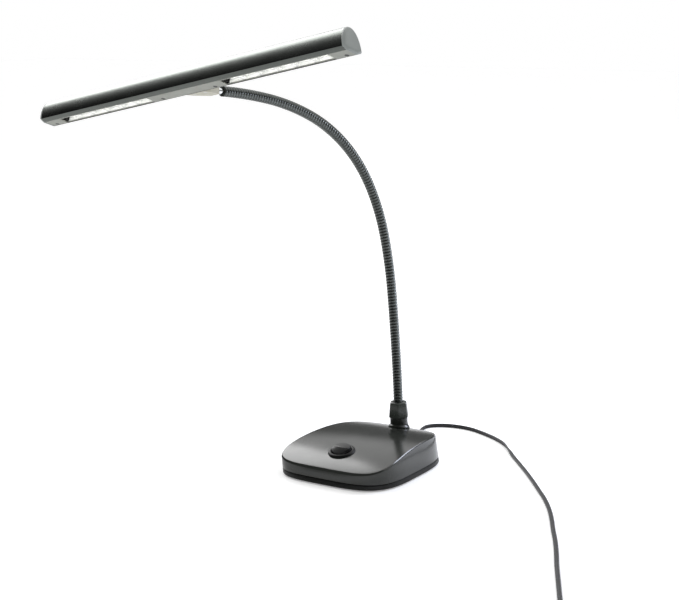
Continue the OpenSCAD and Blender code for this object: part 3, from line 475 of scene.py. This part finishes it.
def edge_h(y):
    s = (y / HALF_D + 1) / 2
    return FRONT_H + (BACK_H - FRONT_H) * s + RISE * 4 * s * (1 - s)


def top_z(y):
    return FLOOR_Z + edge_h(y) + CROWN * (1 - (y / HALF_D) ** 2)


def slope(y):
    return math.degrees(math.atan(top_z(y + 0.5) - top_z(y - 0.5)))


AROUND = 160
# the steps round the outline are even in length, so that the corners stay smooth
fine_turns = np.linspace(0, 2 * math.pi, 4001)
fine_outline = np.array([outline_at(t) for t in fine_turns])
fine_steps = np.linalg.norm(np.diff(fine_outline, axis=0), axis=1)
fine_way = np.concatenate([[0], np.cumsum(fine_steps)])
TURNS = np.interp((np.arange(AROUND) + 0.5) / AROUND * fine_way[-1], fine_way, fine_turns)


def inset_xy(x, y, inset):
    return x * (1 - inset / HALF_W), y * (1 - inset / HALF_D)


def edge_xyz(t):
    x, y = outline_at(t)
    lean = LEAN_FRONT + (LEAN_BACK - LEAN_FRONT) * (y / HALF_D + 1) / 2
    return *inset_xy(x, y, lean), edge_h(y)


def wall_ring(z, inset=0.0, below=None):
    """A ring on the wall, at height z over the tray's foot, or that far below the top edge."""
    out = []
    for t in TURNS:
        (x0, y0), (x1, y1, h) = outline_at(t, FOOT_POWER), edge_xyz(t)
        f = (h - below if below is not None else z) / h
        x, y = x0 + (x1 - x0) * f, y0 + (y1 - y0) * f
        out.append((*inset_xy(x, y, inset), FLOOR_Z + h * f))
    return out


def top_ring(s, drop=0.0, inset=0.0):
    """A ring on the crowned top; s is 1 at its edge and 0 in the middle."""
    out = []
    for t in TURNS:
        x, y, _ = edge_xyz(t)
        x, y = x * s, y * s
        z = FLOOR_Z + edge_h(y) + CROWN * (1 - s * s) - drop
        out.append((*inset_xy(x, y, inset), z))
    return out


SWITCH_Y = -36.4
NECK_X, NECK_Y, NECK_TURN, NECK_LEAN = 0.7, 52.6, 9.8, 3.5
AT_SWITCH = move(0, SWITCH_Y, top_z(SWITCH_Y)) @ rx(slope(SWITCH_Y))
AT_SEAT = move(NECK_X, NECK_Y, top_z(NECK_Y)) @ rx(slope(NECK_Y))
AT_COLLAR = move(NECK_X, NECK_Y, top_z(NECK_Y)) @ rz(-NECK_TURN) @ rx(NECK_LEAN)
AT_GLAND = move(*GLAND) @ rx(-90)
SWITCH_HOLE, SWITCH_SEAT, COLLAR_HOLE, COLLAR_SEAT, GLAND_HOLE = 10.0, 11.6, 5.05, 9.5, 3.9
SEAT_SUNK = 0.4
SCREW_SPOTS, SCREW_RECESS, SCREW_DEEP = ((40, -28), (36, 30)), 3.2, 3.0
PAD_INSET, PAD_DEEP = 6.9, 1.8

# from the seam up the wall, round the eased edge and over the top, then back on the inside
walls = [(TRAY_H + 0.45, 0.35), (TRAY_H + 0.55, 0.1), (TRAY_H + 0.8, 0.0)]
eased = [(0, 3.0), (0, 1.5), (0.02, 0.95), (0.12, 0.5), (0.36, 0.16)]
tops = [0.975, 0.96, 0.94, 0.9, 0.84, 0.77, 0.69, 0.6, 0.5, 0.4, 0.3, 0.2, 0.1]
rings = [wall_ring(z, inset) for z, inset in walls]
rings += [wall_ring(0, inset, below) for inset, below in eased]
rings += [top_ring(0.988, 0.02)] + [top_ring(s) for s in tops]
rings += [[(0, 0, top_z(0) - drop)] * AROUND for drop in (0, SKIN)]
rings += [top_ring(s, SKIN, SKIN) for s in reversed(tops[2:])]
rings += [wall_ring(0, SKIN, below=3.4), wall_ring(TRAY_H + 0.45, SKIN)]
housing = loft("housing_shell", rings, HOUSING, None, closed=True, angle=28)
bm = bmesh.new()
bm.from_mesh(housing.data)
bmesh.ops.remove_doubles(bm, verts=bm.verts, dist=1e-7)
bm.to_mesh(housing.data)
bm.free()
cut(housing, rod("switch_hole", SWITCH_HOLE, -12, 12, AT_SWITCH),
    rod("switch_seat", SWITCH_SEAT, -SEAT_SUNK, 6, AT_SWITCH),
    rod("collar_seat", COLLAR_SEAT, -SEAT_SUNK, 6, AT_SEAT),
    rod("collar_hole", COLLAR_HOLE, -12, 12, AT_COLLAR),
    rod("gland_hole", GLAND_HOLE, -12, 20, AT_GLAND))
tidy(housing, 28)
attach(housing, "base")
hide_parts("base_housing")

foot = [(0.0, 1.0), (0.25, 0.35), (0.8, 0.0), (TRAY_H - 0.5, 0.0), (TRAY_H - 0.15, 0.15),
        (TRAY_H, 0.45), (TRAY_H, SKIN), (TRAY_FLOOR, SKIN)]
tray = loft("tray", [wall_ring(z, inset) for z, inset in foot], TRAY, None, angle=28)
recesses = [rod("recess", SCREW_RECESS, -5, SCREW_DEEP, move(side * x, y, 0), 48)
            for side in (-1, 1) for x, y in SCREW_SPOTS]
pad_ring = wall_ring(0, PAD_INSET)
pad_space = loft("pad_space", [[(x, y, z) for x, y, _ in pad_ring] for z in (-1, PAD_DEEP)],
                 None, None)
cut(tray, pad_space, *recesses)
tidy(tray, 28)
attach(tray, "base")
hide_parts("base_plate")


# ---------- switch ----------

BARREL_IN, BARREL_R = 8.8, 9.8
bezel = lathe("switch_bezel", [(BARREL_IN, -9.5), (BARREL_R, -9.5), (BARREL_R, -0.4), (11.5, -0.4),
                               (11.5, 0.3), (11.42, 0.6), (11.2, 0.95), (10.8, 1.25), (10.2, 1.5),
                               (9.6, 1.6), (9.15, 1.55), (8.9, 1.35), (BARREL_IN, 1.0)],
              BEZEL, matrix=AT_SWITCH, segs=96)
lathe("switch_well", [(0.01, -13.4), (BARREL_R, -13.4), (BARREL_R, -9.5), (BARREL_IN, -9.5),
                      (BARREL_IN, -11.4), (0.01, -11.4)], BEZEL, matrix=AT_SWITCH)
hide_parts("switch_body")

ROCKER_R, RIDGE_H, ROCKER_TIP, ROCKER_FOOT = 8.5, 4.1, 18, -5.5
AT_PIVOT = AT_SWITCH @ move(0, 0, 0.3)


def in_order(bm):
    """Points and faces in an order that stays the same from run to run."""
    verts = sorted(bm.verts, key=lambda v: [round(c, 4) for c in v.co])
    rank = {v: i for i, v in enumerate(verts)}
    faces = []
    for f in bm.faces:
        ids = [rank[v] for v in f.verts]
        first = ids.index(min(ids))
        faces.append(ids[first:] + ids[:first])
    return [tuple(v.co) for v in verts], sorted(faces)


def make_rocker():
    """A ball cut flat on top on both sides of a ridge, and three times below."""
    tip = math.radians(ROCKER_TIP)
    planes = (((0, 0, RIDGE_H), (0, 0, 1)),
              ((0, -0.4, RIDGE_H), (0, -math.sin(tip), math.cos(tip))),
              ((0, 0, ROCKER_FOOT), (0, 0, -1)),
              ((0, 5, ROCKER_FOOT), (0, 0.67, -0.74)),
              ((0, -5, ROCKER_FOOT), (0, -0.58, -0.81)))
    bm = bmesh.new()
    bmesh.ops.create_uvsphere(bm, u_segments=96, v_segments=48, radius=ROCKER_R)
    for co, no in planes:
        got = bmesh.ops.bisect_plane(bm, geom=bm.verts[:] + bm.edges[:] + bm.faces[:],
                                     plane_co=co, plane_no=no, clear_outer=True)
        loop = [e for e in got["geom_cut"] if isinstance(e, bmesh.types.BMEdge)]
        bmesh.ops.contextual_create(bm, geom=loop)
    sharp = [e for e in bm.edges
             if len(e.link_faces) == 2 and e.calc_face_angle(0) > math.radians(12)
             and e.verts[0].co.z + e.verts[1].co.z > 0]
    bmesh.ops.bevel(bm, geom=sharp, offset=0.45, segments=4, affect="EDGES", profile=0.5)
    verts, faces = in_order(bm)
    bm.free()
    return piece("rocker", verts, faces, ROCKER, None, 24, AT_PIVOT)


rocker = make_rocker()
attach(rocker, "rocker")
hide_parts("switch_rocker")
lathe("rocker_pivots", [(0.01, -10.0), (0.9, -10.0), (0.9, 10.0), (0.01, 10.0)], ROCKER, "rocker",
      24, matrix=AT_PIVOT @ ry(90))

# ---------- collar ----------

def seat_ring(r, h, follow, segs=72):
    """A ring round the collar; follow 1 keeps it on the sloping top, 0 square to the collar."""
    out = []
    for i in range(segs):
        a = 2 * math.pi * i / segs
        b = a + math.radians(NECK_TURN)
        on_seat = AT_SEAT @ [r * math.cos(a), r * math.sin(a), h, 1]
        on_collar = AT_COLLAR @ [r * math.cos(b), r * math.sin(b), h, 1]
        out.append((follow * on_seat + (1 - follow) * on_collar)[:3])
    return out


skirt = [(COLLAR_HOLE, -0.35, 1), (9.3, -0.35, 1), (9.4, 0.2, 1), (9.4, 0.85, 1), (9.2, 1.2, 1),
         (8.6, 1.9, 0.9), (8.1, 2.7, 0.7), (7.8, 3.5, 0.35), (7.7, 4.6, 0), (7.7, 8.9, 0),
         (7.5, 9.55, 0), (COLLAR_HOLE, 9.6, 0)]
bush = loft("collar_skirt", [seat_ring(*row) for row in skirt], COAT, closed=True, angle=50)
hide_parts("collar_bush")

NUT_Z, NUT_H, NUT_FOOT, NUT_TOP, NUT_CORNER_AT = 9.7, 13.7, 16.8, 14.0, -52


def nut_ring(h, less=0.0, corner=2.2):
    """A ring of the tapered hexagon, its corners rounded; less is taken off all round."""
    flats = NUT_FOOT - (NUT_FOOT - NUT_TOP) * h / NUT_H - 2 * less
    r = flats / math.cos(math.radians(30)) / 2
    turns = [math.radians(60 * k + NUT_CORNER_AT) for k in range(6)]
    pts = [(r * math.cos(a), r * math.sin(a)) for a in turns]
    return [(x, y, NUT_Z + h) for x, y in rounded(pts, corner, 6)]


def bore_ring(r, h):
    """A round ring whose points stand inside those of the hexagon."""
    turns = [math.atan2(y, x) for x, y, _ in nut_ring(0)]
    return [(r * math.cos(a), r * math.sin(a), NUT_Z + h) for a in turns]


# the hexagon takes the coat painted lighter, as painted sheen
nut = loft("collar_hexagon",
           [bore_ring(4.4, 0.1), nut_ring(0.1, 0.7), nut_ring(0.35, 0.2), nut_ring(0.8),
            nut_ring(12.1), nut_ring(12.8, 0.12), nut_ring(13.35, 0.5, 2.6),
            nut_ring(NUT_H, 1.2, 3.5), bore_ring(4.7, NUT_H), bore_ring(4.35, 13.2)],
           SHEEN_NUT_COAT, closed=True, angle=40, matrix=AT_COLLAR)
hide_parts("collar_nut")

# ---------- gland ----------

def gland_profile():
    """Flange, groove for the wall, and four ribs that get thinner towards the end."""
    out = [(1.2, -5.4), (5.0, -5.4), (5.0, -3.2), (3.8, -3.2), (3.8, 1.7), (4.6, 1.75),
           (4.6, 2.7), (4.35, 2.95), (3.7, 2.95)]
    for k in range(4):
        z, r = 5 + 3 * k, 3.4 - 0.32 * k
        out += [(r - 0.35, z - 0.15), (r - 0.1, z), (r, z + 0.25), (r, z + 1.15),
                (r - 0.1, z + 1.4), (r - 0.35, z + 1.55)]
    return out + [(2.1, GLAND_LEN - 0.2), (1.9, GLAND_LEN), (1.2, GLAND_LEN)]


gland = lathe("lead_strain_relief", gland_profile(), TRAY, matrix=AT_GLAND, segs=48)
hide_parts("cord_gland")

# ---------- gooseneck ----------

BENDS = [1.9, 1.7, 7.6, 15, 19.1, 17.3, 11.7, 6.6]
SEC = 48.7
COLLAR_H, NECK_GAP = 23.4, 1.6
HEAD_TWIST, HEAD_DROP, HEAD_REACH, HEAD_TILT = 1.0, 2.8, 36.5, 14.7


def along_arc(start, bend, share):
    """The frame a share of one section further on, where the whole section bends by bend."""
    r, a = SEC / math.radians(bend), math.radians(bend * share)
    return start @ move(0, -r * (1 - math.cos(a)), r * math.sin(a)) @ rx(bend * share)


starts = [AT_COLLAR @ move(0, 0, COLLAR_H + NECK_GAP)]
for bend in BENDS:
    starts.append(along_arc(starts[-1], bend, 1))
neck_end = starts.pop() @ rz(NECK_TURN + HEAD_TWIST)
at_bar = neck_end @ move(0, -HEAD_DROP, HEAD_REACH) @ rx(-(90 + HEAD_TILT))


def neck_frame(s):
    """Place and direction on the neck, s mm from its start."""
    if s < 0:
        return starts[0] @ move(0, 0, s)
    k = min(len(BENDS) - 1, int(s // SEC))
    return along_arc(starts[k], BENDS[k], s / SEC - k)


# ribs a section, points round a rib and rings a rib
RIBS, SIDES, STEPS = 18, 28, 10
PITCH = SEC / RIBS
VALLEY_R, RIB_H, RIB_POWER = 3.5, 0.65, 2.2


def rib_radius(phase):
    """Round wire ribs with a narrow valley; phase counts ribs."""
    u = (phase % 1.0) * 2 - 1
    return VALLEY_R + RIB_H * math.sqrt(max(0.0, 1 - abs(u) ** RIB_POWER))


def neck_piece(name, a, b):
    count = int(round((b - a) / PITCH * STEPS))
    rows = []
    for j in range(count + 1):
        s = a + (b - a) * j / count
        f = neck_frame(s)
        row = []
        for i in range(SIDES):
            t = i / SIDES
            r = rib_radius(s / PITCH - t)
            p = f @ [r * math.cos(2 * math.pi * t), r * math.sin(2 * math.pi * t), 0, 1]
            row.append(p[:3])
        rows.append(row)
    return loft(name, rows, NECK, None, angle=75)


# seven pieces, each of which bends over one joint; the first reaches into the collar
NECK_IN = 6.0
for k in range(1, 8):
    a = -NECK_IN if k == 1 else (k - 0.5) * SEC
    b = 8 * SEC if k == 7 else (k + 0.5) * SEC
    o = neck_piece(f"gooseneck_{k}", a, b)
    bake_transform(o)
    first = [f"neck_section_{k}"] if k == 1 else []
    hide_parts(*first, f"neck_section_{k + 1}")

# ---------- head ----------

BAR_L, BAR_W, BAR_H, LIP_H, COVER_W, WALL = 341, 17.6, 19.2, 2.0, 10.0, 1.3
LIP_T, ARRIS = WALL * 1.05, 0.35
# how far the end cuts lean in, left and right
LEAN = {-1: math.radians(-8), 1: math.radians(18)}


def arch(r, h, foot, n=72):
    turns = [math.pi * i / n for i in range(n + 1)]
    return [(r * math.cos(a), foot + h * math.sin(a)) for a in turns]


def bar_outline():
    """Outside of the section, anticlockwise from the rear springing; the arrises are rounded."""
    a = arch(BAR_W / 2, BAR_H - LIP_H, LIP_H)
    radii = [ARRIS] + [0] * (len(a) - 2) + [ARRIS] * 3
    return rounded(a + [(-COVER_W / 2, 0), (COVER_W / 2, 0)], radii, 4)


def shell_section():
    """The hollow section, open below between its lips."""
    a = arch(BAR_W / 2, BAR_H - LIP_H, LIP_H)
    inn = arch(BAR_W / 2 - WALL, BAR_H - WALL - LIP_H - LIP_T, LIP_H + LIP_T)[::-1]
    half = COVER_W / 2
    pts = a + [(-half, 0), (-half - 0.2, LIP_T)] + inn + [(half + 0.2, LIP_T), (half, 0)]
    radii = [ARRIS] + [0] * (len(a) - 2) + [ARRIS, 0.3, 0.15] + [0] * len(inn) + [0.15, 0.3]
    return rounded(pts, radii, 4)


def bar_end(side, z, out=0.0):
    """Along the bar, where its end cut is at height z, and out mm beyond the cut."""
    return side * (BAR_L / 2 - z * math.tan(LEAN[side]) + out / math.cos(LEAN[side]))


rows = [[(bar_end(side, z), y, z) for y, z in shell_section()] for side in (-1, 1)]
shell = loft("bar_shell", rows, SHELL, "head", matrix=at_bar, angle=25)
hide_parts("head_shell")

# the cap is scaled towards the middle of the section; its rows are how much it grows there,
# and how far it stands out from the end cut: a rim, a bevel and a slightly domed face
CAP_MID_Z, CAP_HALF_W, CAP_HALF_H = 8.2, 8.75, 9.5
CAP_ROWS = [(-2.0, 0.02), (-0.1, 0.02), (0.02, 0.12), (0.05, 0.5), (0.0, 1.1), (-0.18, 1.7),
            (-0.5, 2.25), (-1.0, 2.7), (-1.8, 3.0), (-3.2, 3.18), (-5.0, 3.26), (-7.0, 3.3)]


def cap_ring(side, grow, out):
    ring = []
    for y, z in bar_outline():
        z = CAP_MID_Z + (z - CAP_MID_Z) * (1 + grow / CAP_HALF_H)
        ring.append((bar_end(side, z, out), y * (1 + grow / CAP_HALF_W), z))
    return ring


for side, name in ((-1, "left"), (1, "right")):
    o = loft(f"cap_{name}", [cap_ring(side, *row) for row in CAP_ROWS], CAP, "head",
             matrix=at_bar, angle=50)
    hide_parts(f"end_cap_{name}")

# ---------- CAD nodes that stay, with better materials and eased edges ----------

STAY = {"ballast_weight": IRON, "base_pad": PAD, "base_screws": ZINC, "switch_terminals": BRASS,
        "inner_wires": WIRE, "threaded_nipple": STEEL, "nipple_washer": ZINC, "nipple_nut": ZINC,
        "end_tube": CHROME, "neck_bracket": BRACKET, "bracket_cover": BRACKET,
        "bracket_screws": ZINC, "head_cover": COVER, "mount_block": BLOCK,
        "reflector_left": WHITE, "reflector_right": WHITE, "led_board_left": BOARD,
        "led_board_right": BOARD, "leds_left": LED, "leds_right": LED, "head_wires": WIRE,
        "head_screws": DARK_SCREW, "coil_tie": TRAY, "adapter_body": BEZEL, "adapter_pins": ZINC}
# radius in mm of the eased edges
EASE = {"ballast_weight": 0.8, "base_pad": 0.3, "base_screws": 0.12, "end_tube": 0.15,
        "neck_bracket": 0.4, "bracket_cover": 0.25, "bracket_screws": 0.15, "head_cover": 0.15,
        "head_screws": 0.08, "adapter_pins": 0.3, "coil_tie": 0.1}
for n, mat in STAY.items():
    o = nodes[n]
    for k in range(len(o.data.materials)):
        o.data.materials[k] = mat
    if not len(o.data.materials):
        o.data.materials.append(mat)
    if n in EASE:
        w = o.modifiers.new("join", "WELD")
        w.merge_threshold = 1e-6
        b = o.modifiers.new("ease", "BEVEL")
        b.width, b.segments = EASE[n] * MM, 3
        b.limit_method, b.angle_limit = "ANGLE", math.radians(30)

# painted shade: the cover is coloured near-black on the thin land behind each window, for the
# shadowed rear edge of the opening, and the left end of each reflector takes the black bezel
# material, for its end wall in shade;
# places in the bar's frame, in mm
WINDOW_IN, WINDOW_OUT, LAND_FROM, PAINTED_SHADE_END = 41.5, 152.2, 4.02, 3.4
to_bar = np.linalg.inv(np.array(at_bar, float))


def along_bar(nt, k):
    """A place's coordinate in the bar's frame, in mm."""
    place = add(nt, "ShaderNodeTexCoord").outputs["Object"]
    return calc(nt, "ADD", toward(nt, place, to_bar[k, :3] / MM), float(to_bar[k, 3]))


nt = COVER.node_tree
from_middle = calc(nt, "ABSOLUTE", along_bar(nt, 0))
off_window = calc(nt, "ABSOLUTE", calc(nt, "SUBTRACT", from_middle, (WINDOW_IN + WINDOW_OUT) / 2))
beside = calc(nt, "LESS_THAN", off_window, (WINDOW_OUT - WINDOW_IN) / 2)
behind = calc(nt, "GREATER_THAN", along_bar(nt, 1), LAND_FROM)
base_colour = nt.nodes["Principled BSDF"].inputs["Base Color"]
# painted shade: near-black on the land behind each window, mixed into the cover's colour
painted_shade = mix(nt, "RGBA", calc(nt, "MULTIPLY", behind, beside),
              base_colour.links[0].from_socket, colour("#101110"))
nt.links.new(painted_shade, base_colour)
# painted shade: faces at the left end of each reflector take the black bezel material
for side, n in ((-1, "left"), (1, "right")):
    o = nodes[f"reflector_{n}"]
    o.data.materials.append(BEZEL)
    left_end = min(side * WINDOW_IN, side * WINDOW_OUT)
    for f in o.data.polygons:
        c = to_bar @ np.append(np.array(f.center) / MM, 1)
        if c[0] < left_end + PAINTED_SHADE_END:
            f.material_index = len(o.data.materials) - 1

# ---------- light and floor ----------

sc = bpy.context.scene
sc.view_settings.view_transform = "Standard"
world = bpy.data.worlds.new("studio")
sc.world = world
world.use_nodes = True
nt = world.node_tree
bg = nt.nodes["Background"]
bg.inputs["Color"].default_value = (1, 1, 1, 1)
TO_FRONT = (0, -1, 0)
# what the tent gives to the camera, and to rays that leave a dull surface
TENT_SEEN, TENT = 1.0, 0.82

# an even white tent; what mirrors in the lamp is a white wall behind it, with a darker band
# where the wall meets the table, and a dark room in front
where_to = add(nt, "ShaderNodeTexCoord").outputs["Generated"]
height = toward(nt, where_to, (0, 0, 1))
wall = calc(nt, "MAXIMUM", ramp(nt, height, 0.0, 0.05, 1.0, 0.15),
            ramp(nt, height, 0.33, 0.45, 0.12, 1.3))
room = ramp(nt, toward(nt, where_to, TO_FRONT), -0.2, 0.12, 1.0, 0.06)
mirrored = for_ray(nt, "Glossy", TENT, calc(nt, "MULTIPLY", wall, room))
nt.links.new(for_ray(nt, "Camera", mirrored, TENT_SEEN), bg.inputs["Strength"])
# a world that is sampled as a light looks the same to every kind of ray
world.cycles.sampling_method = "NONE"


def light(name, where, aim, size, power, shade="#ffffff"):
    d = bpy.data.lights.new(name, "AREA")
    d.shape, d.size, d.size_y, d.energy = "RECTANGLE", size[0], size[1], power
    d.color = colour(shade)[:3]
    o = bpy.data.objects.new(name, d)
    sc.collection.objects.link(o)
    o.location = where
    o.rotation_euler = (Vector(aim) - Vector(where)).to_track_quat("-Z", "Y").to_euler()
    return o


# a softbox high on the left behind the lamp, and a small cool light over the table on its right
light("softbox", (-2.56, 1.28, 1.77), (0, -0.1, 0.3), (1.8, 1.8), 42)
glow = light("table_glow", (0.3, 0.42, 0.3), (0.24, 0.33, 0), (0.3, 0.22), 2.4, "#e6ecff")
glow.visible_camera = False

FLOOR_HALF = 9000
corners = [(x * FLOOR_HALF, y * FLOOR_HALF, 0) for x, y in ((-1, -1), (1, -1), (1, 1), (-1, 1))]
floor = piece("floor", corners, [(0, 1, 2, 3)], None, None)
paper = bpy.data.materials.new("floor_white")
paper.use_nodes = True
nt = paper.node_tree
pb = nt.nodes["Principled BSDF"]
pb.inputs["Roughness"].default_value = 0.9
# in a mirror the white table ends in front of the lamp
place = add(nt, "ShaderNodeNewGeometry").outputs["Position"]
table = ramp(nt, toward(nt, place, TO_FRONT), 0.25, 0.6, 0.93, 0.12)
white = for_ray(nt, "Glossy", colour("#f8f8f8")[0], table)
shade = add(nt, "ShaderNodeCombineColor")
for k in range(3):
    nt.links.new(white, shade.inputs[k])
nt.links.new(shade.outputs[0], pb.inputs["Base Color"])
pb.inputs["Emission Color"].default_value = (1, 1, 1, 1)
nt.links.new(for_ray(nt, "Camera", 0.0, 0.255), pb.inputs["Emission Strength"])
floor.data.materials.append(paper)
